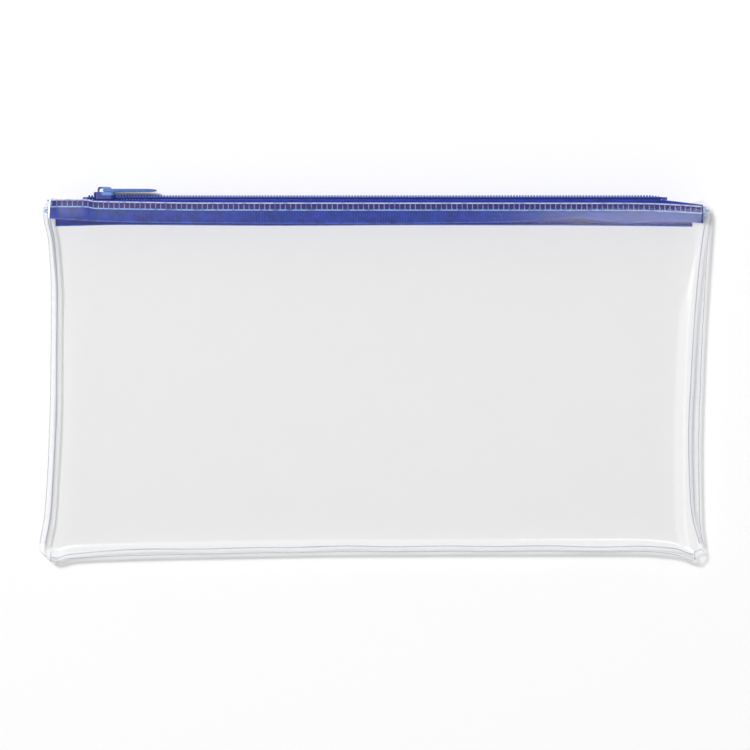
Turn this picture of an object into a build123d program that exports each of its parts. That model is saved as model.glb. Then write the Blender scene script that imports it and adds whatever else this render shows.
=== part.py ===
"""Clear zip deposit bag: two welded film panels, a coil zip along the top edge, its slider and pull tab.

Units are millimetres. X runs along the zip, Y from the hem up to the zip, Z up from the surface the
bag lies on. The origin is the centre of the bag's footprint.
"""
import os

from build123d import *

# driving dimensions: the bag
WAIST_X = 135.0  # half width at the narrow middle of the side seams
WAIST_Y = -8.0
SHOULDER_X = 137.6
SHOULDER_Y = 48.0
RIM_X = 138.8  # half width at the film's top edge
FILM_TOP_Y = 71.4
EAR_X = 139.7  # half width at the pointed lower corners
EAR_Y = -72.8
TOE_X = 133.6  # the lowest point of each lower corner
TOE_Y = -78.2
HEM_X = 118.0  # where the hem straightens beyond a corner
HEM_Y = -75.0
HEM_MID_X = 60.0
HEM_MID_Y = -73.6
THICK = 12.0  # the bag lightly puffed
FILM = 0.25
SEAM_Z = THICK / 2

# how the film rolls from the seam up to each face
ROLL_INSET = 2.0
ROLL_RISE = 4.6
FACE_INSET = 6.5
FACE_TOP_Y = 58.0  # where each face starts to slope towards the zip
SLOPE = (THICK - SEAM_Z - ROLL_RISE) / (FILM_TOP_Y - FACE_TOP_Y)

# seam allowances folded inside
SIDE_ALLOWANCE = 4.2
HEM_ALLOWANCE = 2.8
HEM_END_Y = -69.0  # where the hem's allowance meets the side ones

# the part of the front that lifts when the bag is opened
MOUTH_X = 107.0
CUT = 0.3  # gap round the lifting part
HINGE_Y = -64.0

# zip
PITCH = 1.2  # one coil loop
TOOTH = 0.5
TAPE = 0.45
TAPE_X = 132.8
TAPE_GAP = 0.55  # from the middle plane to each tape's inner edge
TAPE_Y = 72.3  # inner face of the tape where it carries the coil
FRONT_TAPE_LOW_Y = 62.9
BACK_TAPE_LOW_Y = 61.9
WELD_GAP = 0.05  # between film and tape outside the weld's ridges
COIL_X = 119.4
COIL_TOP_Y = 74.4
COIL_OUT = 2.05  # from the middle plane to the coil's outer side
COIL_SPINE = 0.75
HEAD_GAP = 0.45  # from the middle plane to the heads of the loops
CORD_R = 0.4
CORD_PLAY = 0.05
CORD_OUT = 1.4
THREAD = 0.3
THREAD_OUTS = (1.1, 2.0)  # the two rows of stitching, from the middle plane
STOP_LENGTH = 1.9
STOP_TOP_Y = 73.9
STOP_HALF = 2.2

# slider
SLIDER_X = -112.4  # its middle with the bag closed
SLIDER_LENGTH = 8.7
SLIDER_HALF = 3.5  # half its width across the chain
PLATE_TOP_Y = 75.95
PLATE_Y = 74.65
SHOE_TOP_Y = 71.7
SHOE_Y = 70.5
FLANGE_IN = 2.6
FLANGE_PLAY = 0.25  # between each flange and the tape
POST_HALF = 0.3
POST_LENGTH = 2.6
POST_INSET = 0.6
CORNER_R = 1.5

# bridge and pull tab
BRIDGE_HALF = 2.9
BRIDGE_TOP_Y = 78.2
BRIDGE_WALL = 0.7
BRIDGE_WIDTH = 1.6
BRIDGE_CORNER = 1.1
PIVOT_Y = 76.7
TAB_R = 0.6  # half the tab's thickness, and the radius of its pivot end
TAB_WIDTH = 5.6
TAB_LENGTH = 21.6  # from the pivot to the tip
TAB_TIP_WIDTH = 4.0
TAB_TIP_R = 0.3
TAB_TAPER = 3.0
EYE_NEAR = 0.6
EYE_FAR = 4.0
EYE_WIDTH = 2.5
SOFT_EDGE = 0.25


# helpers


def ring_face(right):
    """A face symmetrical about X = 0 from the points of its right half, listed from the bottom up."""
    left = [(-x, y) for x, y in reversed(right)]
    return make_face(Polyline(*right, *left, close=True))


def level(inset, top_y, z):
    """The bag's outline moved inwards by the inset, cut straight at top_y and lifted to z."""
    reach = 4 * RIM_X
    rise = (RIM_X - SHOULDER_X) / (FILM_TOP_Y - SHOULDER_Y)
    face = ring_face(
        [
            (HEM_MID_X, HEM_MID_Y),
            (HEM_X, HEM_Y),
            (TOE_X, TOE_Y),
            (EAR_X, EAR_Y),
            (WAIST_X, WAIST_Y),
            (SHOULDER_X, SHOULDER_Y),
            (RIM_X + rise * FACE_INSET * 4, FILM_TOP_Y + FACE_INSET * 4),
        ]
    )
    if inset:
        face = offset(face, -inset, kind=Kind.INTERSECTION)
    below = Pos(0, top_y - reach / 2) * Rectangle(reach, reach)
    return Pos(0, 0, z) * (face & below).face()


def dome(skin):
    """The solid under the front face from the seam up, skin deep inside the film's outer surface."""
    low = level(skin, FILM_TOP_Y, SEAM_Z)
    middle = level(ROLL_INSET + skin, FILM_TOP_Y, SEAM_Z + ROLL_RISE - skin)
    high = level(FACE_INSET + skin, FACE_TOP_Y - skin * SLOPE, THICK - skin)
    return loft([low, middle], ruled=True) + loft([middle, high], ruled=True)


def block(x0, x1, y0, y1, z0=SEAM_Z - THICK, z1=SEAM_Z + THICK):
    """A box between the given limits."""
    middle = Pos((x0 + x1) / 2, (y0 + y1) / 2, (z0 + z1) / 2)
    return middle * Box(x1 - x0, y1 - y0, z1 - z0)


def bar(points, x0, x1):
    """A bar along X whose section has the given (y, height above the seam plane) points."""
    face = Plane.YZ * make_face(Polyline(*[(y, SEAM_Z + h) for y, h in points], close=True))
    return Pos(x0, 0, 0) * extrude(face, x1 - x0)


def slab(face, y0, y1):
    """A slab between y0 and y1 with the plan, drawn as (x, height above the seam plane)."""
    return Pos(0, y0, SEAM_Z) * extrude(Plane.XZ * face, y0 - y1)


def to_back(shape):
    """The same piece on the other side of the seam plane."""
    return mirror(shape, about=Plane.XY.offset(SEAM_Z))


# film


def front_film():
    return dome(0) - dome(FILM)


def front_film_pieces():
    """The front film, cut into the part that lifts and the parts that stay with the back."""
    film = front_film()
    reach = 2 * EAR_X
    edge = MOUTH_X + CUT
    return {
        "front_panel": film & block(-MOUTH_X, MOUTH_X, HINGE_Y, FILM_TOP_Y + CUT),
        "front_panel_left_end": film & block(-reach, -edge, -reach, reach),
        "front_panel_right_end": film & block(edge, reach, -reach, reach),
        "front_panel_hem_edge": film & block(-edge, edge, -reach, HINGE_Y - CUT),
    }


def allowance(width, cutter):
    """The two films fused together, folded inside the bag along part of its outline."""
    cavity = dome(FILM) + to_back(dome(FILM))
    between = block(-2 * EAR_X, 2 * EAR_X, -2 * EAR_X, 2 * EAR_X, SEAM_Z - FILM, SEAM_Z + FILM)
    middle = extrude(level(width, FILM_TOP_Y + width, SEAM_Z - FILM), 2 * FILM)
    return (cavity & between & cutter) - middle


def allowances():
    reach = 2 * EAR_X
    return {
        "left_seam_allowance": allowance(SIDE_ALLOWANCE, block(-reach, 0, HEM_END_Y, reach)),
        "right_seam_allowance": allowance(SIDE_ALLOWANCE, block(0, reach, HEM_END_Y, reach)),
        "hem_seam_allowance": allowance(HEM_ALLOWANCE, block(-reach, reach, -reach, HEM_END_Y)),
    }


# zip chain


def tape_points(low_y):
    """The tape's section: flat under the coil, then folded down behind the film to low_y."""
    outer_y = TAPE_Y + TAPE

    def under_film(y):
        return ROLL_RISE - FILM - WELD_GAP + (FILM_TOP_Y - y) * SLOPE

    return [
        (TAPE_Y, TAPE_GAP),
        (outer_y, TAPE_GAP),
        (outer_y, under_film(outer_y)),
        (low_y, under_film(low_y)),
        (low_y, under_film(low_y) - TAPE),
        (TAPE_Y, under_film(TAPE_Y) - TAPE),
    ]


def cord(x0, x1):
    middle_y = (TAPE_Y + TAPE + COIL_TOP_Y) / 2
    return Pos(x0, middle_y, SEAM_Z + CORD_OUT) * extrude(Plane.YZ * Circle(CORD_R), x1 - x0)


def coil(x0, x1, phase):
    """One half of the coil: a spine of loops with their heads reaching towards the middle."""
    points = [(x0, COIL_OUT), (x0, COIL_SPINE)]
    count = int(2 * COIL_X / PITCH) + 2
    for number in range(-count // 2, count // 2 + 1):
        left = (number + phase) * PITCH - TOOTH / 2
        right = left + TOOTH
        if x0 < left and right < x1:
            points += [(left, COIL_SPINE), (left, HEAD_GAP), (right, HEAD_GAP), (right, COIL_SPINE)]
    points += [(x1, COIL_SPINE), (x1, COIL_OUT)]
    loops = slab(make_face(Polyline(*points, close=True)), TAPE_Y + TAPE, COIL_TOP_Y)
    middle_y = (TAPE_Y + TAPE + COIL_TOP_Y) / 2
    bore = Pos(x0, middle_y, SEAM_Z + CORD_OUT) * extrude(
        Plane.YZ * Circle(CORD_R + CORD_PLAY), x1 - x0
    )
    return loops - bore


def stitching(x0, x1):
    """The two rows of thread on the tape's inner face."""
    rows = [
        block(
            x0,
            x1,
            TAPE_Y - THREAD,
            TAPE_Y,
            SEAM_Z + out - THREAD / 2,
            SEAM_Z + out + THREAD / 2,
        )
        for out in THREAD_OUTS
    ]
    return Compound(children=rows)


def chain_pieces():
    """Both halves of the zip; the front half is cut where the mouth of the bag ends."""
    edge = MOUTH_X + CUT
    pieces = {
        "back_tape": to_back(bar(tape_points(BACK_TAPE_LOW_Y), -TAPE_X, TAPE_X)),
        "back_coil": to_back(coil(-COIL_X, COIL_X, 0.5)),
        "back_core_cord": to_back(cord(-COIL_X, COIL_X)),
        "back_coil_stitching": to_back(stitching(-COIL_X, COIL_X)),
    }
    spans = {"": (-1, 1), "_left_end": (-2, -1), "_right_end": (1, 2)}
    for suffix, (start, end) in spans.items():
        near = MOUTH_X if suffix == "" else edge
        ends = {-2: -COIL_X, -1: -near, 1: near, 2: COIL_X}
        tape_ends = {-2: -TAPE_X, -1: -near, 1: near, 2: TAPE_X}
        x0, x1 = ends[start], ends[end]
        front_tape = bar(tape_points(FRONT_TAPE_LOW_Y), tape_ends[start], tape_ends[end])
        pieces["front_tape" + suffix] = front_tape
        pieces["front_coil" + suffix] = coil(x0, x1, 0)
        pieces["front_core_cord" + suffix] = cord(x0, x1)
        pieces["front_coil_stitching" + suffix] = stitching(x0, x1)
    return pieces


def stops():
    low = TAPE_Y + TAPE
    left = block(
        -COIL_X - STOP_LENGTH, -COIL_X, low, STOP_TOP_Y, SEAM_Z - STOP_HALF, SEAM_Z + STOP_HALF
    )
    left = fillet(left.faces().sort_by(Axis.Y)[-1].edges(), SOFT_EDGE)
    return {"left_end_stop": left, "right_end_stop": mirror(left, about=Plane.YZ)}


# slider


def slider_body():
    """Two plates joined by a post between the coils, with flanges that hold the coils in."""
    plan = Rectangle(SLIDER_LENGTH, 2 * SLIDER_HALF)
    plan = fillet(plan.vertices(), CORNER_R)
    channel = plan & Rectangle(SLIDER_LENGTH, 2 * FLANGE_IN)
    plate = slab(plan, PLATE_Y, PLATE_TOP_Y)
    plate = fillet(plate.faces().sort_by(Axis.Y)[-1].edges(), SOFT_EDGE)
    shoe = slab(plan, SHOE_Y, SHOE_TOP_Y)
    shoe = fillet(shoe.faces().sort_by(Axis.Y)[0].edges(), SOFT_EDGE)
    upper = slab(plan - channel, TAPE_Y + TAPE + FLANGE_PLAY, PLATE_Y)
    lower = slab(plan - channel, SHOE_TOP_Y, TAPE_Y - FLANGE_PLAY)
    post_x = -SLIDER_LENGTH / 2 + POST_INSET
    post = block(
        post_x, post_x + POST_LENGTH, SHOE_TOP_Y, PLATE_Y, SEAM_Z - POST_HALF, SEAM_Z + POST_HALF
    )
    return Pos(SLIDER_X, 0, 0) * (plate + shoe + upper + lower + post + bridge())


def bridge():
    """The arch that the pull tab hangs on."""
    rise = BRIDGE_TOP_Y - PLATE_TOP_Y
    outer = Pos(0, PLATE_TOP_Y) * Rectangle(2 * BRIDGE_HALF, 2 * rise)
    outer = fillet(outer.vertices(), BRIDGE_CORNER)
    inner = Pos(0, PLATE_TOP_Y) * Rectangle(2 * (BRIDGE_HALF - BRIDGE_WALL), 2 * (rise - BRIDGE_WALL))
    inner = fillet(inner.vertices(), BRIDGE_CORNER - BRIDGE_WALL / 2)
    arch = (outer - inner) & Pos(0, BRIDGE_TOP_Y - SOFT_EDGE) * Rectangle(
        4 * BRIDGE_HALF, 2 * rise
    )
    return Pos(0, 0, SEAM_Z - BRIDGE_WIDTH / 2) * extrude(arch, BRIDGE_WIDTH)


def pull_tab():
    """A flat tab with an eye for the bridge, round at the pivot and thinned at its tip."""
    wide = TAB_WIDTH / 2
    plan = make_face(
        Polyline(
            (-TAB_R, wide),
            (EYE_FAR, wide),
            (TAB_LENGTH, TAB_TIP_WIDTH / 2),
            (TAB_LENGTH, -TAB_TIP_WIDTH / 2),
            (EYE_FAR, -wide),
            (-TAB_R, -wide),
            close=True,
        )
    )
    plan = fillet(plan.vertices().sort_by(Axis.X)[-2:], TAB_TIP_WIDTH / 2 - SOFT_EDGE)
    eye = Pos((EYE_NEAR + EYE_FAR) / 2, 0) * RectangleRounded(
        EYE_FAR - EYE_NEAR, EYE_WIDTH, 2 * SOFT_EDGE
    )
    tab = slab(plan - eye, PIVOT_Y - TAB_R, PIVOT_Y + TAB_R)
    taper_x = TAB_LENGTH - TAB_TAPER
    side = make_face(
        Polyline(
            (0, PIVOT_Y - TAB_R),
            (taper_x, PIVOT_Y - TAB_R),
            (TAB_LENGTH, PIVOT_Y - TAB_TIP_R),
            (TAB_LENGTH, PIVOT_Y + TAB_TIP_R),
            (taper_x, PIVOT_Y + TAB_R),
            (0, PIVOT_Y + TAB_R),
            close=True,
        )
    ) + Pos(0, PIVOT_Y) * Circle(TAB_R)
    envelope = Pos(0, 0, SEAM_Z - wide) * extrude(side, TAB_WIDTH)
    return Pos(SLIDER_X, 0, 0) * (tab & envelope)


def main():
    pieces = {
        **front_film_pieces(),
        "back_panel": to_back(front_film()),
        **allowances(),
        **chain_pieces(),
        **stops(),
        "slider_body": slider_body(),
        "pull_tab": pull_tab(),
    }
    os.makedirs("parts", exist_ok=True)
    for name, shape in pieces.items():
        export_step(shape, f"parts/{name}.step")


if __name__ == "__main__":
    main()
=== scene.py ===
"""The looks of a clear zip deposit bag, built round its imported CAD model.

Lengths are in metres. X runs along the zip, Y from the hem up to the zip, and Z up from the counter that
the bag lies on. MM is one millimetre.
"""

import math

import bmesh
import bpy
from bpy.props import FloatProperty, FloatVectorProperty, IntProperty, PointerProperty
from bpy.types import Operator, Panel, PropertyGroup
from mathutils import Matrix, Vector, noise
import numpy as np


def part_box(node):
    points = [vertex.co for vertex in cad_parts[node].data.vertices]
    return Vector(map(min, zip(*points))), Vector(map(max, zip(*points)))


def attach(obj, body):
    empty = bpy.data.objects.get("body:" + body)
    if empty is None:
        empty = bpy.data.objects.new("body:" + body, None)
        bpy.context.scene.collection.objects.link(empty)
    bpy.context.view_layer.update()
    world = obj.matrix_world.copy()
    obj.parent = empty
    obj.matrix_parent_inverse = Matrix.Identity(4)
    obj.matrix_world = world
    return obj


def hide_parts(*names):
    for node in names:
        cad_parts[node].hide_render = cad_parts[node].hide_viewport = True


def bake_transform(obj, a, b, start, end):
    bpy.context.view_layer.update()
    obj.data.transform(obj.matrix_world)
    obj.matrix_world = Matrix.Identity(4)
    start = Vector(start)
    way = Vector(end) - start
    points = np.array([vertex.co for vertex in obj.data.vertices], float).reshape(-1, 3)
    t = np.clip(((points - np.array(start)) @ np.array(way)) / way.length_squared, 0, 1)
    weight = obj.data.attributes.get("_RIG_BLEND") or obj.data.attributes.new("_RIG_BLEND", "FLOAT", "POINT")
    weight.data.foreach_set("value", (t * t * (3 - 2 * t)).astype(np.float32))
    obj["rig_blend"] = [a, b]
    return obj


bl_info = {
    "name": "Clear Zip Deposit Bag",
    "version": (1, 0, 0),
    "blender": (4, 5, 0),
    "location": "3D View > Sidebar > Deposit Bag",
    "description": "Builds the film, seams, zip and metal of a clear zip deposit bag",
    "category": "Add Mesh",
}

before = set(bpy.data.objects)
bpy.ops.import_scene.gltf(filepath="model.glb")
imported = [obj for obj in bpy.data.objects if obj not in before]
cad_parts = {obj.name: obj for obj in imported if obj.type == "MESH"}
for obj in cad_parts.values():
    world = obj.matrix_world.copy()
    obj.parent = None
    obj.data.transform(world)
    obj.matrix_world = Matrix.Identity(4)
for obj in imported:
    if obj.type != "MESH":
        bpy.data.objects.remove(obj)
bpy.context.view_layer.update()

MM = 0.001
FLAP_LOW, FLAP_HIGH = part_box("front_panel")
COIL_LOW, COIL_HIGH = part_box("front_coil")
TAPE_LOW, TAPE_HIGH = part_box("front_tape")
CORD_LOW, CORD_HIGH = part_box("front_core_cord")
THREAD_LOW, THREAD_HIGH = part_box("front_coil_stitching")
SLIDER_LOW, SLIDER_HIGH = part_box("slider_body")
SLIDER_MIDDLE = (SLIDER_LOW.x + SLIDER_HIGH.x) / 2
# the slider's bright plate begins just past the coil's crests
PLATE_Y = COIL_HIGH.y + 0.25 * MM
CHAIN_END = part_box("back_coil")[1].x
SEAM_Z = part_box("back_panel")[1].z
HALF_THICK = FLAP_HIGH.z - SEAM_Z
RIM_Y = FLAP_HIGH.y
HINGE_Y = FLAP_LOW.y

# the bag's outline in millimetres: each side as (y, x), the hem and the rim as (x, y)
LEFT_SIDE = (
    (-75.4, -136.8),
    (-72.6, -139.7),
    (-58.0, -137.5),
    (-30.0, -135.8),
    (0.0, -135.0),
    (35.0, -134.8),
    (56.0, -136.0),
    (67.0, -138.0),
    (71.4, -137.4),
)
RIGHT_SIDE = (
    (-76.8, 135.6),
    (-75.0, 137.0),
    (-70.0, 136.4),
    (-60.0, 135.2),
    (-30.0, 134.8),
    (0.0, 135.6),
    (35.0, 137.3),
    (56.0, 138.5),
    (67.0, 139.3),
    (71.2, 138.4),
)
HEM = (
    (-136.8, -75.4),
    (-133.6, -78.1),
    (-128.0, -76.5),
    (-108.5, -75.5),
    (-70.0, -74.6),
    (0.0, -73.6),
    (108.0, -73.4),
    (124.5, -74.8),
    (131.0, -77.2),
    (134.0, -78.0),
    (135.6, -76.8),
)
RIM = (
    (-137.4, 71.4),
    (-135.1, 73.8),
    (-131.0, 73.0),
    (-120.0, 73.0),
    (-116.5, 72.3),
    (-95.0, 71.8),
    (-73.0, 71.4),
    (129.0, 71.4),
    (133.0, 71.9),
    (136.2, 73.0),
    (138.4, 71.2),
)

# in millimetres, along x: the lower edges of the tape's halves, the weld's top, and how far tape and coil
# fall at the right; last, along y, how wide the right seam allowance is
FRONT_TAPE_EDGE = (
    (-134.7, 64.8),
    (-110.0, 63.5),
    (-73.0, 62.9),
    (0.0, 62.7),
    (60.0, 63.4),
    (84.0, 65.0),
    (104.0, 63.0),
    (122.0, 63.8),
    (136.0, 62.9),
)
BACK_TAPE_EDGE = (
    (-133.3, 62.0),
    (-105.0, 62.6),
    (-40.0, 62.3),
    (20.0, 62.5),
    (80.0, 62.4),
    (132.4, 61.9),
)
WELD_TOP = (
    (-137.4, 72.6),
    (-131.0, 72.9),
    (-120.0, 72.9),
    (-116.5, 72.2),
    (-95.0, 71.8),
    (-73.0, 71.5),
    (100.0, 71.4),
    (116.0, 71.2),
    (128.0, 70.6),
    (138.4, 69.8),
)
TAPE_FALL = ((118.0, 0.0), (124.0, 0.6), (136.5, 2.2))
COIL_FALL = ((114.0, 0.0), (117.5, 0.35), (120.0, 1.0))
RIGHT_ALLOWANCE = (
    (-70.0, 1.1),
    (-64.0, 2.0),
    (-52.0, 3.5),
    (-23.0, 4.1),
    (4.0, 3.7),
    (31.0, 3.3),
    (56.0, 2.0),
    (68.0, 1.0),
)
# short creases where the welded corners fold over, as points (x, y)
CORNER_CREASES = (
    ((-134.7, -73.6), (-134.9, -77.7)),
    ((132.9, -73.5), (133.1, -76.8)),
    ((132.9, -73.5), (134.6, -72.9), (135.9, -72.5), (136.6, -73.7)),
)
# where the weld runs on through clear film, past the ends of the tape, as points (x, y)
WELD_TAILS = (
    ((-134.4, 68.9), (-136.4, 68.6), (-137.7, 68.2)),
    ((-137.6, 68.2), (-136.5, 67.6), (-135.3, 66.9)),
    ((136.0, 69.2), (137.6, 68.6), (138.9, 68.2)),
    ((136.0, 67.2), (137.3, 67.9), (138.9, 68.2)),
)


# curves and heights


def through(points, at):
    """The smooth curve through (position, value) points in rising order, with no overshoot."""
    last = len(points) - 1
    at = min(max(at, points[0][0]), points[last][0])
    step = max(k for k in range(last) if points[k][0] <= at)

    def rise(k):
        return (points[k + 1][1] - points[k][1]) / (points[k + 1][0] - points[k][0])

    def lean(k):
        if k in (0, last):
            return rise(min(k, last - 1))
        before, after = rise(k - 1), rise(k)
        return 2 * before * after / (before + after) if before * after > 0 else 0.0

    (x0, y0), (x1, y1) = points[step], points[step + 1]
    span = x1 - x0
    t = (at - x0) / span
    return (
        y0 * (1 + 2 * t) * (1 - t) ** 2
        + lean(step) * span * t * (1 - t) ** 2
        + y1 * t * t * (3 - 2 * t)
        + lean(step + 1) * span * t * t * (t - 1)
    )


def left_at(y):
    """X of the bag's left side at this Y."""
    return through(LEFT_SIDE, y / MM) * MM


def right_at(y):
    """X of the bag's right side at this Y."""
    return through(RIGHT_SIDE, y / MM) * MM


def hem_at(x):
    """Y of the hem at this X."""
    return through(HEM, x / MM) * MM


def rim_at(x):
    """Y of the rim at this X."""
    return through(RIM, x / MM) * MM


def outline_point(u, v):
    """A point of the bag's plan, u from the left side to the right and v from the hem to the rim."""
    low_left, low_right = Vector(HEM[0]) * MM, Vector(HEM[-1]) * MM
    top_left, top_right = Vector(RIM[0]) * MM, Vector(RIM[-1]) * MM
    left_y = low_left.y + (top_left.y - low_left.y) * v
    right_y = low_right.y + (top_right.y - low_right.y) * v
    hem_x = low_left.x + (low_right.x - low_left.x) * u
    rim_x = top_left.x + (top_right.x - top_left.x) * u
    sides = Vector((left_at(left_y), left_y)) * (1 - u) + Vector((right_at(right_y), right_y)) * u
    ends = Vector((hem_x, hem_at(hem_x))) * (1 - v) + Vector((rim_x, rim_at(rim_x))) * v
    corners = (low_left * (1 - u) + low_right * u) * (1 - v) + (top_left * (1 - u) + top_right * u) * v
    return sides + ends - corners


def roll(distance, radius):
    """How far film has risen, from 0 at an edge to 1, once it is radius inside that edge."""
    short = 1 - min(max(distance / radius, 0.0), 1.0)
    return math.sqrt(max(0.0, 1 - short * short))


# share that the stiff tape takes off the side rolls beside it
TAPE_GRIP = 0.62


def flatness(x, y, sizes):
    """How far the side and hem rolls have risen here, 1 where they're over."""
    # the stiff tape makes the side rolls tighter, more and more over this distance below the slope
    ramp = 3 * sizes.rim_run
    near_tape = min(max(1 - (RIM_Y - sizes.rim_run - y) / ramp, 0.0), 1.0)
    slack = 1 - TAPE_GRIP * near_tape * near_tape * (3 - 2 * near_tape)
    left = roll(x - left_at(y), sizes.left_roll * slack)
    right = roll(right_at(y) - x, sizes.right_roll * slack)
    return left * right * roll(y - hem_at(x), sizes.hem_roll)


def puff(x, y, sizes):
    """Height of the film's outer face over the seam plane."""
    short = 1 - min(max((rim_at(x) - y) / sizes.rim_run, 0.0), 1.0)
    rim = 1 - (1 - sizes.rim_height / HALF_THICK) * short * short
    wave = noise.noise(Vector((x, y, 0)) / sizes.wave_length) * 0.5 + 0.5
    return (HALF_THICK - sizes.wave_height * wave) * flatness(x, y, sizes) * rim


# sizes and colours that a user may change


def length(name, description, default):
    """A size in metres."""
    return FloatProperty(name=name, description=description, default=default, unit="LENGTH")


def colour(name, description, default):
    """A colour for a finish."""
    return FloatVectorProperty(
        name=name, description=description, default=default, subtype="COLOR", min=0.0, max=1.0
    )


class DepositBagSizes(PropertyGroup):
    """Sizes of the film and of the zip"""

    film: length("Film", "Thickness of one sheet of film", 0.25 * MM)
    left_roll: length("Left Roll", "How far the film takes to rise at the left side", 6.5 * MM)
    right_roll: length("Right Roll", "How far the film takes to rise at the right side", 12.0 * MM)
    hem_roll: length("Hem Roll", "How far the film takes to rise at the hem", 6.0 * MM)
    rim_run: length("Rim Run", "How far below the rim the face starts to slope", 13.4 * MM)
    rim_height: length("Rim Height", "Height of the film's rim over the seam plane", 4.6 * MM)
    wave_height: length("Wave Height", "Depth of the face's gentle unevenness", 0.25 * MM)
    wave_length: length("Wave Length", "Size of one patch of that unevenness", 45.0 * MM)
    columns: IntProperty(name="Columns", description="Film faces along the bag", default=128)
    rows: IntProperty(name="Rows", description="Film faces from hem to rim", default=80)
    allowance: length("Allowance", "Width of the seam allowance at the left and the hem", 2.3 * MM)
    bead: length("Bead", "Width of the squeezed edge of a seam allowance", 0.38 * MM)
    seam_line: length("Seam Line", "Radius of the weld along the bag's outline", 0.2 * MM)
    tape: length("Tape", "Thickness of the zip tape", 0.42 * MM)
    selvedge: length("Selvedge", "Width of the tape's bound lower edge", 0.4 * MM)
    under_film: length("Under Film", "Depth of the tape under the film's outer face", 0.48 * MM)
    weld_pitch: length("Weld Pitch", "Distance from one weld cell to the next", 2.16 * MM)
    weld_height: length("Weld Height", "Width of the welded band", 3.35 * MM)
    weld_bar: length("Weld Bar", "Half the width of the bar between two weld cells", 0.28 * MM)
    coil_pitch: length("Coil Pitch", "Distance from one loop of the coil to the next", 1.2 * MM)
    filament: length("Filament", "Radius of the coil's filament", 0.28 * MM)
    coil_crown: length("Coil Crown", "How far front loops stand out, and back ones fall short", 0.45 * MM)
    loop_swell: FloatProperty(
        name="Loop Swell", description="Extra width of a loop's outer side", default=0.75
    )
    reach: length("Reach", "How far each loop passes the chain's middle", 0.3 * MM)
    camera_height: length("Camera Height", "Height of the camera over the counter", 1.5)
    view_width: length("View Width", "Width that the camera takes in", 0.31185)


class DepositBagColours(PropertyGroup):
    """Colours of the bag's finishes"""

    film: colour("Film", "What the film lets through", (1.0, 1.0, 1.0))
    # painted shade: a grey laid over the flat part of the film, so that the rolled edges look lighter, as if
    # they mirrored more light
    haze_and_painted_shade: colour("Haze", "Faint bloom on the flat part of the film", (0.28, 0.28, 0.31))
    fused: colour("Fused Film", "What two fused sheets let through", (0.982, 0.984, 0.992))
    seam_line: colour("Seam Line", "What the weld along the outline lets through", (0.70, 0.71, 0.74))
    bead: colour("Bead", "Cut edge of a seam allowance", (0.42, 0.44, 0.55))
    tape: colour("Tape", "Woven zip tape", (0.006, 0.031, 0.30))
    # painted shade: the back half of the tape is painted darker, in place of the shadow that the tapes no
    # longer cast
    back_tape: colour("Back Tape", "The half of the tape that lies in shade", (0.003, 0.005, 0.19))
    selvedge: colour("Selvedge", "Bound lower edge of the front tape", (0.05, 0.12, 0.50))
    cell: colour("Weld Cell", "Tape seen through fused film", (0.004, 0.003, 0.13))
    bar: colour("Weld Bar", "Raised bars between the weld cells", (0.27, 0.24, 0.62))
    # the weld's upper and lower edges: partly the pale edge of the fused film, partly a painted highlight
    # along its beads
    upper_weld_and_painted_highlight: colour("Upper Weld", "Edge of the weld beside the rim", (0.74, 0.76, 0.90))
    lower_weld_and_painted_highlight: colour("Lower Weld", "Lower edge of the weld", (0.20, 0.42, 0.74))
    coil: colour("Coil", "Nylon of the coil", (0.020, 0.050, 0.32))
    thread: colour("Thread", "Sewing thread and core cord", (0.020, 0.035, 0.25))
    slider: colour("Slider", "Paint of the slider", (0.075, 0.19, 0.46))
    # painted shade on the slider's flanges and on the end towards the stop
    slider_painted_shade: colour("Slider Shade", "Paint of the slider's worn and shaded parts", (0.010, 0.018, 0.19))
    pull: colour("Pull Tab", "Paint of the pull tab", (0.065, 0.15, 0.42))
    counter: colour("Counter", "Surface that the bag lies on", (0.885, 0.885, 0.885))


# mesh helpers


def sheet(bm, columns, rows, place):
    """A grid laid out by place(u, v), with u and v from 0 to 1; returns its faces."""
    made = bmesh.ops.create_grid(bm, x_segments=columns, y_segments=rows, size=0.5)["verts"]
    faces = {face for vertex in made for face in vertex.link_faces}
    for vertex in made:
        vertex.co = place(vertex.co.x + 0.5, vertex.co.y + 0.5)
    return list(faces)


def tube(bm, columns, section, place):
    """A closed tube: section is the count of its sides, and place(u, turn) its surface."""
    made = bmesh.ops.create_grid(bm, x_segments=columns, y_segments=section, size=0.5)["verts"]
    for vertex in made:
        vertex.co = place(vertex.co.x + 0.5, vertex.co.y + 0.5)
    bmesh.ops.remove_doubles(bm, verts=made, dist=1e-7)
    ends = [edge for edge in bm.edges if edge.is_boundary]
    bmesh.ops.holes_fill(bm, edges=ends, sides=0)


def thicken(bm, depth):
    """Gives an open sheet its thickness, on the side that its faces point away from."""
    bm.normal_update()
    made = bmesh.ops.extrude_face_region(bm, geom=bm.faces[:], use_keep_orig=True)["geom"]
    for part in made:
        if isinstance(part, bmesh.types.BMVert):
            part.co -= part.normal * depth


def finished(name, bm, materials, body="bag", smooth=True):
    """Makes a piece of the mesh and rides it on a body, or bends it with the mouth."""
    bmesh.ops.recalc_face_normals(bm, faces=bm.faces)
    for face in bm.faces:
        face.smooth = smooth
    mesh = bpy.data.meshes.new(name)
    bm.to_mesh(mesh)
    bm.free()
    for material in materials:
        mesh.materials.append(material)
    piece = bpy.data.objects.new(name, mesh)
    bpy.context.scene.collection.objects.link(piece)
    if body == "mouth":
        open_with_mouth(piece)
    else:
        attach(piece, body)
    return piece


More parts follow.
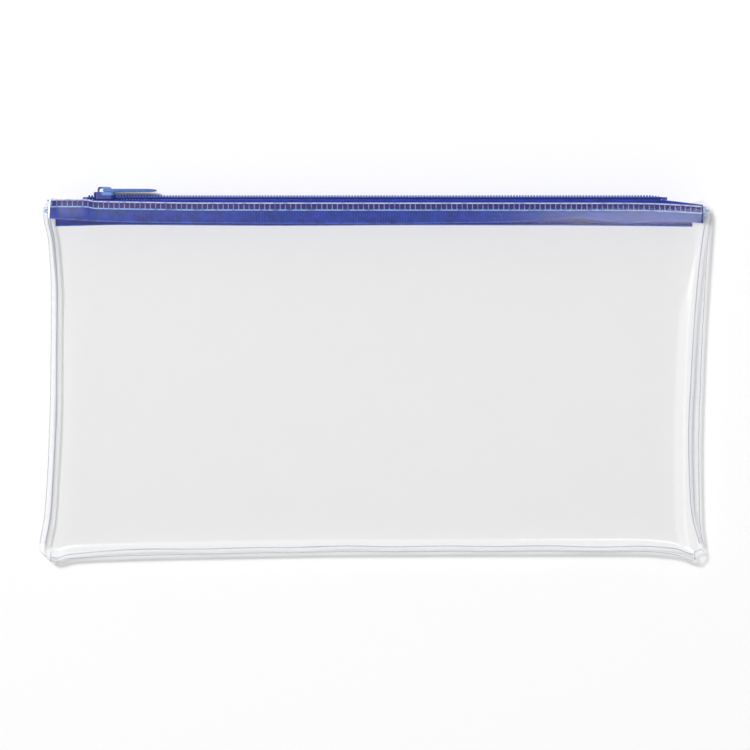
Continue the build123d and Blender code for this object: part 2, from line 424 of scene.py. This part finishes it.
def open_with_mouth(piece):
    """Bends a piece with the front as the mouth opens: most in the middle, not at all at the ends or hem."""
    end_x, full_x = FLAP_HIGH.x, 0.12 * FLAP_HIGH.x
    least = [1.0] * len(piece.data.vertices)
    lines = (
        ((-end_x, 0, 0), (-full_x, 0, 0)),
        ((end_x, 0, 0), (full_x, 0, 0)),
        ((0, HINGE_Y - MM, 0), (0, HINGE_Y + MM, 0)),
    )
    for start, end in lines:
        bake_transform(piece, "bag", "mouth_flap", start=start, end=end)
        share = piece.data.attributes["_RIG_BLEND"].data
        least = [min(value, share[k].value) for k, value in enumerate(least)]
    share = piece.data.attributes["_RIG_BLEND"].data
    for k, value in enumerate(least):
        share[k].value = value


# shader helpers


class Wire:
    """A node's output; arithmetic on it adds Math nodes."""

    def __init__(self, finish, socket):
        self.finish = finish
        self.socket = socket

    def math(self, operation, first, second):
        return self.finish.node("ShaderNodeMath", {"operation": operation}, {0: first, 1: second})

    def __add__(self, other):
        return self.math("ADD", self, other)

    def __radd__(self, other):
        return self.math("ADD", other, self)

    def __sub__(self, other):
        return self.math("SUBTRACT", self, other)

    def __rsub__(self, other):
        return self.math("SUBTRACT", other, self)

    def __mul__(self, other):
        return self.math("MULTIPLY", self, other)

    def __rmul__(self, other):
        return self.math("MULTIPLY", other, self)

    def __pow__(self, other):
        return self.math("POWER", self, other)


class Finish:
    """The nodes of one material, or of the world."""

    def __init__(self, name, owner=None):
        self.owner = owner or bpy.data.materials.new(name)
        self.owner.use_nodes = True
        self.tree = self.owner.node_tree
        self.tree.nodes.clear()

    def node(self, kind, settings=None, values=None, output=0):
        """Adds a node of this type, sets it up, fills or links its sockets and returns one output."""
        made = self.tree.nodes.new(kind)
        for key, value in (settings or {}).items():
            setattr(made, key, value)
        for key, value in (values or {}).items():
            if isinstance(value, Wire):
                self.tree.links.new(value.socket, made.inputs[key])
            else:
                made.inputs[key].default_value = value
        return Wire(self, made.outputs[output]) if made.outputs else None

    def place(self):
        """Where a point lies on its piece."""
        return self.node("ShaderNodeTexCoord", output="Object")

    def blur(self, scale, detail=3.0):
        """Fine noise over the piece."""
        return self.node(
            "ShaderNodeTexNoise", {}, {"Vector": self.place(), "Scale": scale, "Detail": detail}
        )

    def mix(self, factor, first, second):
        """A colour between two others."""
        return self.node(
            "ShaderNodeMix",
            {"data_type": "RGBA"},
            {"Factor": factor, 6: first, 7: second},
            output=2,
        )

    def bump(self, height, distance, strength):
        """A normal that leans with a height."""
        return self.node(
            "ShaderNodeBump", {}, {"Height": height, "Distance": distance, "Strength": strength}
        )

    def done(self, shader):
        """Puts the shader on the material and returns it."""
        self.node("ShaderNodeOutputMaterial", {}, {"Surface": shader})
        return self.owner


def rgba(shade, factor=1.0):
    """A shade with its alpha, made lighter or darker by the factor."""
    return (*(min(1.0, part * factor) for part in shade), 1.0)


def film_finish(name, through_film, haze_and_painted_shade=0.003, painted_flat_shade=None):
    """Clear soft vinyl: it lets light through, mirrors it at a slant and is very slightly milky.

    With a shade colour, the part that lies flat gets painted shade, a little duller than the rolled edges.
    """
    finish = Finish(name)
    ripple = finish.bump(finish.blur(140.0), 0.04 * MM, 0.3)
    clear = finish.node("ShaderNodeBsdfTransparent", {}, {"Color": rgba(through_film)})
    shine = finish.node(
        "ShaderNodeBsdfGlossy", {}, {"Color": rgba((1, 1, 1)), "Roughness": 0.14, "Normal": ripple}
    )
    # a thin film mirrors alike on both faces, which the Fresnel node doesn't give on the inner one
    slant = finish.node("ShaderNodeLayerWeight", {}, {"Blend": 0.5, "Normal": ripple}, output="Facing")
    head_on = 0.03
    mirror = slant**5 * (1 - head_on) + head_on
    coat = finish.node("ShaderNodeMixShader", {}, {0: mirror, 1: clear, 2: shine})
    milk = finish.node("ShaderNodeBsdfDiffuse", {}, {"Color": rgba((0.86, 0.87, 0.90))})
    cloud = finish.blur(30.0) * haze_and_painted_shade + haze_and_painted_shade / 2
    film = finish.node("ShaderNodeMixShader", {}, {0: cloud, 1: coat, 2: milk})
    # painted shade: a grey diffuse mixed in where the film lies flat
    if painted_flat_shade is not None:
        flat = finish.node(
            "ShaderNodeMapRange",
            {"interpolation_type": "SMOOTHSTEP"},
            {
                "Value": finish.node("ShaderNodeAttribute", {"attribute_name": "flat"}, output="Fac"),
                "From Min": 0.986,
                "From Max": 0.996,
                "To Min": 0.0,
                "To Max": 0.012,
            },
        )
        painted_flat_shade_coat = finish.node("ShaderNodeBsdfDiffuse", {}, {"Color": rgba(painted_flat_shade)})
        film = finish.node("ShaderNodeMixShader", {}, {0: flat, 1: film, 2: painted_flat_shade_coat})
    return finish.done(film)


def plain_finish(name, shade, roughness=0.5, grain=900.0, depth=0.03, metal=0.0, vary=0.25, **more):
    """A solid finish with a fine grain and a little change of shade."""
    finish = Finish(name)
    speck = finish.blur(grain)
    patch = finish.blur(grain / 12)
    tone = finish.mix(patch, rgba(shade, 1 - vary), rgba(shade, 1 + vary))
    values = {
        "Base Color": tone,
        "Roughness": speck * 0.2 + (roughness - 0.1),
        "Metallic": metal,
        "Normal": finish.bump(speck, depth * MM, 0.6),
    }
    return finish.done(finish.node("ShaderNodeBsdfPrincipled", {}, {**values, **more}))


def woven_finish(name, shade):
    """Woven polyester: ribs across the tape, crossed by a finer weft, with a mottled dye."""
    finish = Finish(name)
    spot = finish.node("ShaderNodeUVMap", {"uv_map": "weave"}, output="UV")
    warp = finish.node(
        "ShaderNodeTexWave",
        {"bands_direction": "X", "wave_profile": "SIN"},
        {"Vector": spot, "Scale": 275.0, "Distortion": 1.6, "Detail Scale": 3.0},
        output="Fac",
    )
    weft = finish.node(
        "ShaderNodeTexWave",
        {"bands_direction": "Y", "wave_profile": "SIN"},
        {"Vector": spot, "Scale": 560.0, "Distortion": 0.8, "Detail Scale": 2.0},
        output="Fac",
    )
    weave = warp * 0.55 + weft * 0.45
    dye = finish.blur(420.0, 4.0)
    tone = finish.mix(weave * 0.5 + dye * 1.4 - 0.45, rgba(shade, 0.3), rgba(shade, 1.6))
    values = {
        "Base Color": tone,
        "Roughness": 0.8,
        "Specular IOR Level": 0.25,
        "Sheen Weight": 0.12,
        "Normal": finish.bump(weave, 0.08 * MM, 0.7),
    }
    return finish.done(finish.node("ShaderNodeBsdfPrincipled", {}, values))


def bar_finish(name, light, dark):
    """A line of the weld: bright where the film stands off the tape, darker where it lies down; on the
    weld's upper and lower edges the bright colour is partly a painted highlight.
    """
    finish = Finish(name)
    patch = finish.blur(420.0, 1.0)
    lying = finish.node(
        "ShaderNodeMapRange",
        {"interpolation_type": "SMOOTHSTEP"},
        {"Value": patch, "From Min": 0.45, "From Max": 0.75, "To Min": 0.0, "To Max": 0.7},
    )
    values = {
        "Base Color": finish.mix(lying, rgba(light), rgba(dark)),
        "Roughness": 0.3,
        "Normal": finish.bump(patch, 0.03 * MM, 0.5),
    }
    return finish.done(finish.node("ShaderNodeBsdfPrincipled", {}, values))


def slider_finish(name, light, dark):
    """Painted slider: its plate has the paint's own colour, and its flanges and the end towards the stop get
    painted shade.
    """
    finish = Finish(name)
    spot = finish.place()
    lit = 1.0
    for axis, start, end in (
        ("X", SLIDER_MIDDLE - 1.6 * MM, SLIDER_MIDDLE - 0.4 * MM),
        ("Y", PLATE_Y - 0.2 * MM, PLATE_Y + 0.1 * MM),
    ):
        along = finish.node("ShaderNodeSeparateXYZ", {}, {"Vector": spot}, output=axis)
        lit = lit * finish.node(
            "ShaderNodeMapRange",
            {"interpolation_type": "SMOOTHSTEP"},
            {"Value": along, "From Min": start, "From Max": end},
        )
    grain = finish.blur(1400.0)
    values = {
        # painted shade where lit is low: on the flanges and on the end towards the stop
        "Base Color": finish.mix(lit, rgba(dark), rgba(light)),
        "Roughness": grain * 0.2 + 0.25,
        "Metallic": 0.2,
        "Normal": finish.bump(grain, 0.03 * MM, 0.4),
    }
    return finish.done(finish.node("ShaderNodeBsdfPrincipled", {}, values))


# pieces


def film_sheet(sizes, side):
    """One panel of film, from its outline up or down to its face, with its thickness."""
    bm = bmesh.new()

    def gather(t):
        return 0.5 - 0.5 * math.cos(math.pi * t)

    def place(u, v):
        spot = outline_point(gather(u), gather(v))
        return Vector((spot.x, spot.y, SEAM_Z + side * puff(spot.x, spot.y, sizes)))

    faces = sheet(bm, sizes.columns, sizes.rows, place)
    # how flat the film lies, which is the mask of its painted shade
    flat = bm.verts.layers.float.new("flat")
    for vertex in bm.verts:
        vertex[flat] = flatness(vertex.co.x, vertex.co.y, sizes)
    if side < 0:
        bmesh.ops.reverse_faces(bm, faces=faces)
    thicken(bm, sizes.film)
    return bm


class DEPOSIT_OT_film(Operator):
    """Make the two film panels"""

    bl_idname = "deposit_bag.film"
    bl_label = "Film Panels"

    def execute(self, context):
        sizes, colours = context.scene.deposit_sizes, context.scene.deposit_colours
        # the flat part of the film gets painted shade
        finish = film_finish("clear_film", colours.film, painted_flat_shade=colours.haze_and_painted_shade)
        front = finished(
            "front_film", film_sheet(sizes, 1), [finish], body="mouth"
        )
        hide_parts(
            "front_panel",
            "front_panel_left_end",
            "front_panel_right_end",
            "front_panel_hem_edge",
        )
        back = finished("back_film", film_sheet(sizes, -1), [finish])
        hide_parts("back_panel")
        return {"FINISHED"}


# places of the seam allowances' finishes
FUSED, BEAD, SEAM_LINE = range(3)


def allowance_strip(sizes, along_y, low, high, edge, inward, width):
    """A seam allowance that follows an edge of the bag, with a squeezed bead on its inner side."""
    bm = bmesh.new()
    half, fat, start = sizes.film, 1.5 * sizes.film, 1.4 * sizes.film + sizes.seam_line
    section = (
        (0.0, half, 0.0),
        (1.0, half, -sizes.bead),
        (1.0, fat, -sizes.bead / 2),
        (1.0, half / 2, 0.0),
        (1.0, -half / 2, 0.0),
        (1.0, -fat, -sizes.bead / 2),
        (1.0, -half, -sizes.bead),
        (0.0, -half, 0.0),
    )

    def place(u, turn):
        across, rise, back = section[round(turn * len(section)) % len(section)]
        along = low + (high - low) * u
        aside = edge(along) + inward * (start + width(along) * across + back)
        x, y = (aside, along) if along_y else (along, aside)
        wave = noise.noise(Vector((x, y, 7.0)) / (22 * MM)) * 0.5 * MM * across
        return Vector((x, y, SEAM_Z + rise + wave))

    step = 2.2 * MM
    columns = round((high - low) / step)
    tube(bm, columns, len(section), place)
    for face in bm.faces:
        middle = face.calc_center_median()
        along, aside = (middle.y, middle.x) if along_y else (middle.x, middle.y)
        inside = start + width(along) - inward * (aside - edge(along))
        face.material_index = BEAD if inside < sizes.bead * 1.1 else FUSED
    before = set(bm.faces)
    radius = sizes.seam_line

    def round_outline(u, turn):
        along = low + (high - low) * u
        angle = turn * math.tau
        aside = edge(along) + inward * radius * (1 + math.cos(angle))
        x, y = (aside, along) if along_y else (along, aside)
        return Vector((x, y, SEAM_Z + radius * math.sin(angle)))

    tube(bm, columns, 6, round_outline)
    for face in set(bm.faces) - before:
        face.material_index = SEAM_LINE
    return bm


def crease(bm, points, thick, material, rise=None):
    """A thin fold line through points (x, y) in millimetres, on the seam plane or rise(x, y) over it."""
    spots = [Vector((x * MM, y * MM, SEAM_Z)) for x, y in points]
    for spot in spots:
        spot.z += rise(spot.x, spot.y) if rise else 0.0
    aside = Vector((0, 0, 1)).cross(spots[-1] - spots[0]).normalized()
    before = set(bm.faces)

    def place(u, turn):
        angle = turn * math.tau
        spot = spots[round(u * (len(spots) - 1))]
        return spot + aside * (thick * math.cos(angle)) + Vector((0, 0, thick * math.sin(angle)))

    tube(bm, len(spots) - 1, 6, place)
    for face in set(bm.faces) - before:
        face.material_index = material


class DEPOSIT_OT_seams(Operator):
    """Make the three seam allowances that lie folded inside"""

    bl_idname = "deposit_bag.seams"
    bl_label = "Seam Allowances"

    def execute(self, context):
        sizes, colours = context.scene.deposit_sizes, context.scene.deposit_colours
        finishes = [
            film_finish("fused_film", colours.fused, haze_and_painted_shade=0.02),
            plain_finish("seam_bead", colours.bead, roughness=0.35),
            film_finish("seam_line", colours.seam_line, haze_and_painted_shade=0.1),
        ]
        low_y, high_y = HINGE_Y - 6 * MM, RIM_Y - 1.5 * MM
        low_x, high_x = -134.6 * MM, 132.4 * MM

        def left_width(y):
            return sizes.allowance * (1 + 0.25 * noise.noise(Vector((3.0, y / (30 * MM), 0))))

        def right_width(y):
            return through(RIGHT_ALLOWANCE, y / MM) * MM

        def hem_width(x):
            return sizes.allowance * (0.85 + 0.5 * noise.noise(Vector((x / (38 * MM), 11.0, 0))))

        strips = (
            ("left", True, low_y, high_y, left_at, 1, left_width),
            ("right", True, low_y, high_y, right_at, -1, right_width),
            ("hem", False, low_x, high_x, hem_at, 1, hem_width),
        )
        for side, *line in strips:
            bm = allowance_strip(sizes, *line)
            if side == "hem":
                for points in CORNER_CREASES:
                    crease(bm, points, sizes.bead / 2.4, BEAD)
            strip = finished(f"{side}_allowance", bm, finishes)
            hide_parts(f"{side}_seam_allowance")
        return {"FINISHED"}


def tape_section(x, s, low_y, sizes):
    """A point of the tape's outer face: s runs from the coil's edge, round the fold, to the lower edge."""
    flat_y = TAPE_HIGH.y - through(TAPE_FALL, x / MM) * MM
    inner_h = TAPE_LOW.z - SEAM_Z
    fold = 1.0 * MM
    top_h = max(puff(x, flat_y - fold, sizes) - sizes.under_film, inner_h + 1.4 * fold)
    if s < 0.25:
        h = inner_h + (top_h - fold - inner_h) * s / 0.25
        return Vector((x, flat_y, h))
    if s < 0.5:
        turn = (s - 0.25) / 0.25 * math.pi / 2
        return Vector((x, flat_y - fold * (1 - math.cos(turn)), top_h - fold * (1 - math.sin(turn))))
    y = flat_y - fold + (low_y - flat_y + fold) * (s - 0.5) / 0.5
    return Vector((x, y, top_h if s == 0.5 else puff(x, y, sizes) - sizes.under_film))


def tape_strip(sizes, lower_edge, side):
    """Half of the zip's tape: its last row is the selvedge, and its weave map follows its surface."""
    bm = bmesh.new()
    rows = 17
    x0, x1 = lower_edge[0][0] * MM, lower_edge[-1][0] * MM

    def place(u, v):
        x = x0 + (x1 - x0) * u
        low_y = through(lower_edge, x / MM) * MM
        above = min(v * rows / (rows - 1), 1.0)
        spot = tape_section(x, above, low_y + sizes.selvedge, sizes)
        if v > 1 - 0.5 / rows:
            spot = Vector((x, low_y, puff(x, low_y, sizes) - sizes.under_film))
        return Vector((spot.x, spot.y, SEAM_Z + side * spot.z))

    faces = sheet(bm, 110, rows, place)
    weave = bm.loops.layers.uv.new("weave")
    for face in faces:
        middle = face.calc_center_median()
        edge_y = through(lower_edge, middle.x / MM) * MM + sizes.selvedge
        face.material_index = 1 if middle.y < edge_y - 0.2 * sizes.selvedge else 0
        for corner in face.loops:
            spot = corner.vert.co
            corner[weave].uv = (spot.x, spot.y - abs(spot.z - SEAM_Z))
    if side > 0:
        bmesh.ops.reverse_faces(bm, faces=faces)
    thicken(bm, sizes.tape)
    return bm


class DEPOSIT_OT_tapes(Operator):
    """Make both halves of the zip tape"""

    bl_idname = "deposit_bag.tapes"
    bl_label = "Zip Tapes"

    def execute(self, context):
        sizes, colours = context.scene.deposit_sizes, context.scene.deposit_colours
        edge = woven_finish("tape_selvedge", colours.selvedge)
        finishes = [woven_finish("woven_tape", colours.tape), edge]
        # the back tape's darker colour is painted shade
        painted_shade_back_finishes = [woven_finish("woven_back_tape_painted_shade", colours.back_tape), edge]
        front = tape_strip(sizes, FRONT_TAPE_EDGE, 1)
        piece = finished("front_zip_tape", front, finishes, body="mouth")
        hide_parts("front_tape", "front_tape_left_end", "front_tape_right_end")
        back = tape_strip(sizes, BACK_TAPE_EDGE, -1)
        back_piece = finished("back_zip_tape", back, painted_shade_back_finishes)
        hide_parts("back_tape")
        # the tape lies under clear film, and its own shadow would show there as a dark band
        piece.visible_shadow = False
        back_piece.visible_shadow = False
        return {"FINISHED"}


# places of the weld band's finishes
BAR, CELL, UPPER_LINE, LOWER_LINE, CLEAR = range(5)


def weld_ladder(sizes, side):
    """The welded band: a row of pressed cells with raised bars between them and a line above and below."""
    bm = bmesh.new()
    x0, x1 = left_at(RIM_Y) + 1.2 * MM, right_at(RIM_Y) - 1.0 * MM
    # beyond these the band runs on through clear film
    tape_x0, tape_x1 = -134.6 * MM, 136.2 * MM
    count = round((x1 - x0) / sizes.weld_pitch)
    depth = sizes.film + 0.02 * MM
    cell_share, line_share = 0.8, 0.2

    def place(u, v):
        x = x0 + (x1 - x0) * u
        y = through(WELD_TOP, x / MM) * MM - sizes.weld_height * (1 - v)
        return Vector((x, y, SEAM_Z + side * (puff(x, y, sizes) - depth)))

    cells = sheet(bm, count, 1, place)
    if side < 0:
        bmesh.ops.reverse_faces(bm, faces=cells)
    frames = bmesh.ops.inset_individual(bm, faces=cells, thickness=sizes.weld_bar, depth=-0.12 * MM)
    for cell in cells:
        cell.material_index = CELL
        middle = cell.calc_center_median()
        for vertex in cell.verts:
            vertex.co.y = middle.y + (vertex.co.y - middle.y) * cell_share
    for face in frames["faces"]:
        middle = face.calc_center_median()
        down = (through(WELD_TOP, middle.x / MM) * MM - middle.y) / sizes.weld_height
        if down < line_share:
            face.material_index = UPPER_LINE
        elif down > 1 - line_share:
            face.material_index = LOWER_LINE
    for face in bm.faces:
        if not tape_x0 < face.calc_center_median().x < tape_x1:
            on_line = face.material_index in (UPPER_LINE, LOWER_LINE)
            face.material_index = LOWER_LINE if on_line else CLEAR
    thicken(bm, 0.06 * MM)
    for points in WELD_TAILS:
        crease(bm, points, 0.16 * MM, LOWER_LINE, lambda x, y: side * puff(x, y, sizes))
    return bm


class DEPOSIT_OT_welds(Operator):
    """Make the welded bands that join the film to the tapes"""

    bl_idname = "deposit_bag.welds"
    bl_label = "Weld Bands"

    def execute(self, context):
        sizes, colours = context.scene.deposit_sizes, context.scene.deposit_colours
        finishes = [
            bar_finish("weld_bar", colours.bar, colours.cell),
            plain_finish("weld_cell", colours.cell, roughness=0.4, **{"Specular IOR Level": 0.15}),
            # the upper and lower weld lines are partly painted highlight
            bar_finish("upper_weld_line_and_painted_highlight", colours.upper_weld_and_painted_highlight, colours.bar),
            bar_finish("lower_weld_line_and_painted_highlight", colours.lower_weld_and_painted_highlight, colours.tape),
            film_finish("weld_end", colours.fused, haze_and_painted_shade=0.03),
        ]
        bodies = (("front_weld_band", 1, "mouth"), ("back_weld_band", -1, "bag"))
        for name, side, body in bodies:
            finished(name, weld_ladder(sizes, side), finishes, body, smooth=False)
        return {"FINISHED"}


def coil_half(sizes, side, phase, half_length):
    """Half of the coil: a row of long loops lying on the tape, their heads past the chain's middle."""
    bm = bmesh.new()
    thin = sizes.filament
    low_y, high_y = COIL_LOW.y, COIL_HIGH.y + side * sizes.coil_crown
    tall = (high_y - low_y) / 2 - thin
    outer_h = COIL_HIGH.z - SEAM_Z - thin
    inner_h = -sizes.reach + thin
    stretch = (outer_h - inner_h) / 2 - tall
    steps = 10
    lean, tuck = 0.22, 0.6
    ring = bmesh.ops.create_circle(bm, segments=6, radius=thin)["verts"]
    first = math.pi / steps
    for vertex in ring:
        x, y = vertex.co.x, vertex.co.y
        vertex.co = Vector((x, (tall + y) * math.cos(first), (tall + y) * math.sin(first)))
    bmesh.ops.spin(
        bm,
        geom=ring + list({e for v in ring for e in v.link_edges}),
        cent=(0, 0, 0),
        axis=(1, 0, 0),
        angle=math.tau,
        steps=steps,
        use_merge=True,
    )
    for vertex in bm.verts:
        slant = vertex.co.y * lean
        vertex.co.x *= 1 + sizes.loop_swell * max(vertex.co.z / tall, 0.0)
        vertex.co.z += math.copysign(stretch, vertex.co.z)
        vertex.co += Vector((slant, (low_y + high_y) / 2, (outer_h + inner_h) / 2))
        vertex.co.z = SEAM_Z + side * vertex.co.z
    loop = bpy.data.meshes.new("coil_loop")
    bm.to_mesh(loop)
    bm.clear()
    count = int(half_length / sizes.coil_pitch)
    for number in range(-count, count + 1):
        middle = (number + phase) * sizes.coil_pitch
        if abs(middle) > half_length - thin:
            continue
        before = len(bm.verts)
        bm.from_mesh(loop)
        bm.verts.ensure_lookup_table()
        fall = through(COIL_FALL, middle / MM)
        for vertex in bm.verts[before:]:
            vertex.co.y -= max(vertex.co.y - low_y, 0.0) * tuck * fall
            vertex.co.x += middle
    bpy.data.meshes.remove(loop)
    return bm


class DEPOSIT_OT_coils(Operator):
    """Make both halves of the coil"""

    bl_idname = "deposit_bag.coils"
    bl_label = "Coils"

    def execute(self, context):
        sizes, colours = context.scene.deposit_sizes, context.scene.deposit_colours
        finish = plain_finish("coil_nylon", colours.coil, roughness=0.32, vary=0.15)
        half = CHAIN_END
        front = finished(
            "front_zip_coil", coil_half(sizes, 1, 0.0, half), [finish], "mouth"
        )
        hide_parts("front_coil", "front_coil_left_end", "front_coil_right_end")
        back = finished("back_zip_coil", coil_half(sizes, -1, 0.5, half), [finish])
        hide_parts("back_coil")
        return {"FINISHED"}


def core_cord(side):
    """The cord through one half of the coil."""
    bm = bmesh.new()
    radius = (CORD_HIGH.y - CORD_LOW.y) / 2
    middle_y = (CORD_HIGH.y + CORD_LOW.y) / 2
    middle_h = (CORD_HIGH.z + CORD_LOW.z) / 2 - SEAM_Z
    half = CHAIN_END

    def place(u, turn):
        angle = turn * math.tau
        h = middle_h + radius * math.sin(angle)
        return Vector((half * (2 * u - 1), middle_y + radius * math.cos(angle), SEAM_Z + side * h))

    tube(bm, 90, 8, place)
    return bm


def stitch_rows(sizes, side):
    """Two rows of stitches on the inner face of the tape."""
    bm = bmesh.new()
    half = CHAIN_END
    thick = (THREAD_HIGH.y - THREAD_LOW.y) / 2
    middle_y = THREAD_LOW.y + thick
    span = 2 * sizes.coil_pitch
    stitch = 0.45 * span
    count = int(half / span)
    for h in (THREAD_LOW.z - SEAM_Z + thick, THREAD_HIGH.z - SEAM_Z - thick):
        for number in range(-count, count + 1):
            made = bmesh.ops.create_uvsphere(bm, u_segments=6, v_segments=4, radius=thick)["verts"]
            bmesh.ops.scale(bm, verts=made, vec=(stitch / thick, 1, 1))
            spot = (number * span, middle_y, SEAM_Z + side * h)
            bmesh.ops.translate(bm, verts=made, vec=spot)
    return bm


class DEPOSIT_OT_threads(Operator):
    """Make the cords inside the coils and the stitching that holds them"""

    bl_idname = "deposit_bag.threads"
    bl_label = "Cords and Stitching"

    def execute(self, context):
        sizes, colours = context.scene.deposit_sizes, context.scene.deposit_colours
        finish = plain_finish("thread", colours.thread, roughness=0.8, grain=2500.0, depth=0.05)
        for half, side, body in (("front", 1, "mouth"), ("back", -1, "bag")):
            ends = ("", "_left_end", "_right_end") if side > 0 else ("",)
            cord = finished(f"{half}_cord", core_cord(side), [finish], body)
            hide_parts(*(f"{half}_core_cord{end}" for end in ends))
            rows = finished(f"{half}_stitches", stitch_rows(sizes, side), [finish], body)
            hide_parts(*(f"{half}_coil_stitching{end}" for end in ends))
        return {"FINISHED"}


class DEPOSIT_OT_metal(Operator):
    """Finish the slider, the pull tab and the end stops"""

    bl_idname = "deposit_bag.metal"
    bl_label = "Slider, Pull Tab and Stops"

    def execute(self, context):
        colours = context.scene.deposit_colours
        slider = slider_finish("slider_paint", colours.slider, colours.slider_painted_shade)
        pull = plain_finish("pull_paint", colours.pull, roughness=0.3, metal=0.2, vary=0.1)
        stop = plain_finish("stop_nylon", colours.coil, roughness=0.35)
        looks = {
            "slider_body": slider,
            "pull_tab": pull,
            "left_end_stop": stop,
            "right_end_stop": stop,
        }
        for node, finish in looks.items():
            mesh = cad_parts[node].data
            mesh.materials.clear()
            mesh.materials.append(finish)
        return {"FINISHED"}


def soft_light(name, spot, aim, width, depth, power):
    """A rectangular lamp that looks from its spot at its aim."""
    lamp = bpy.data.lights.new(name, "AREA")
    lamp.shape = "RECTANGLE"
    lamp.size = width
    lamp.size_y = depth
    lamp.energy = power
    made = bpy.data.objects.new(name, lamp)
    made.location = spot
    made.rotation_euler = (Vector(aim) - Vector(spot)).to_track_quat("-Z", "Y").to_euler()
    bpy.context.scene.collection.objects.link(made)
    return made


def pale_sky():
    """A studio that is bright all round and dim overhead, so that flat film mirrors little of it."""
    world = bpy.data.worlds.new("studio")
    sky = Finish("studio", world)
    look = sky.node("ShaderNodeTexCoord", output="Generated")
    height = sky.node("ShaderNodeSeparateXYZ", {}, {"Vector": look}, output="Z")
    glow = sky.node(
        "ShaderNodeMapRange",
        {"interpolation_type": "SMOOTHSTEP"},
        {"Value": height, "From Min": 0.15, "From Max": 0.5, "To Min": 1.05, "To Max": 0.15},
    )
    back = sky.node(
        "ShaderNodeBackground", {}, {"Color": rgba((1, 1, 1)), "Strength": glow}
    )
    sky.node("ShaderNodeOutputWorld", {}, {"Surface": back})
    return world


class DEPOSIT_OT_stage(Operator):
    """Make the counter, the lights and the camera"""

    bl_idname = "deposit_bag.stage"
    bl_label = "Stage"

    def execute(self, context):
        scene = context.scene
        sizes, colours = scene.deposit_sizes, scene.deposit_colours
        bm = bmesh.new()
        bmesh.ops.create_grid(bm, x_segments=1, y_segments=1, size=3.0)
        mesh = bpy.data.meshes.new("counter")
        bm.to_mesh(mesh)
        bm.free()
        mesh.materials.append(
            plain_finish("counter", colours.counter, roughness=0.9, grain=60.0, depth=0.0, vary=0.004)
        )
        counter = bpy.data.objects.new("counter", mesh)
        scene.collection.objects.link(counter)
        scene.world = pale_sky()
        soft_light("key", (-1.4, 1.4, 4.1), (0, 0, 0), 0.9, 0.9, 186.0)
        soft_light("glare_card", (0.328, 0.34, 1.0), (0.328, 0.34, 0), 0.405, 0.20, 1.0)
        soft_light("side_card", (0.74, 0.0, 1.0), (0.74, 0.0, 0), 0.10, 0.6, 0.3)
        # light crosses up to ten skins of film, allowance and weld on its way down, and as many back
        scene.cycles.transparent_max_bounces = 24
        lens = bpy.data.cameras.new("camera")
        lens.lens = lens.sensor_width * (sizes.camera_height - SEAM_Z) / sizes.view_width
        lens.clip_end = 10.0
        camera = bpy.data.objects.new("camera", lens)
        camera.location = (0, 0, sizes.camera_height)
        scene.collection.objects.link(camera)
        scene.camera = camera
        scene.view_settings.view_transform = "Standard"
        return {"FINISHED"}


class DEPOSIT_PT_panel(Panel):
    """Sizes, colours and steps of the deposit bag"""

    bl_idname = "DEPOSIT_PT_panel"
    bl_label = "Deposit Bag"
    bl_space_type = "VIEW_3D"
    bl_region_type = "UI"
    bl_category = "Deposit Bag"

    def draw(self, context):
        layout = self.layout
        for step in STEPS:
            layout.operator(step.bl_idname)
        for group in (context.scene.deposit_sizes, context.scene.deposit_colours):
            box = layout.box()
            for name in group.__annotations__:
                box.prop(group, name)


STEPS = (
    DEPOSIT_OT_stage,
    DEPOSIT_OT_film,
    DEPOSIT_OT_seams,
    DEPOSIT_OT_tapes,
    DEPOSIT_OT_welds,
    DEPOSIT_OT_coils,
    DEPOSIT_OT_threads,
    DEPOSIT_OT_metal,
)
CLASSES = (DepositBagSizes, DepositBagColours, *STEPS, DEPOSIT_PT_panel)


def register():
    for made in CLASSES:
        bpy.utils.register_class(made)
    bpy.types.Scene.deposit_sizes = PointerProperty(type=DepositBagSizes)
    bpy.types.Scene.deposit_colours = PointerProperty(type=DepositBagColours)


def unregister():
    del bpy.types.Scene.deposit_colours
    del bpy.types.Scene.deposit_sizes
    for made in reversed(CLASSES):
        bpy.utils.unregister_class(made)


def main():
    register()
    for step in STEPS:
        area, name = step.bl_idname.split(".")
        getattr(getattr(bpy.ops, area), name)()


if __name__ == "__main__":
    main()
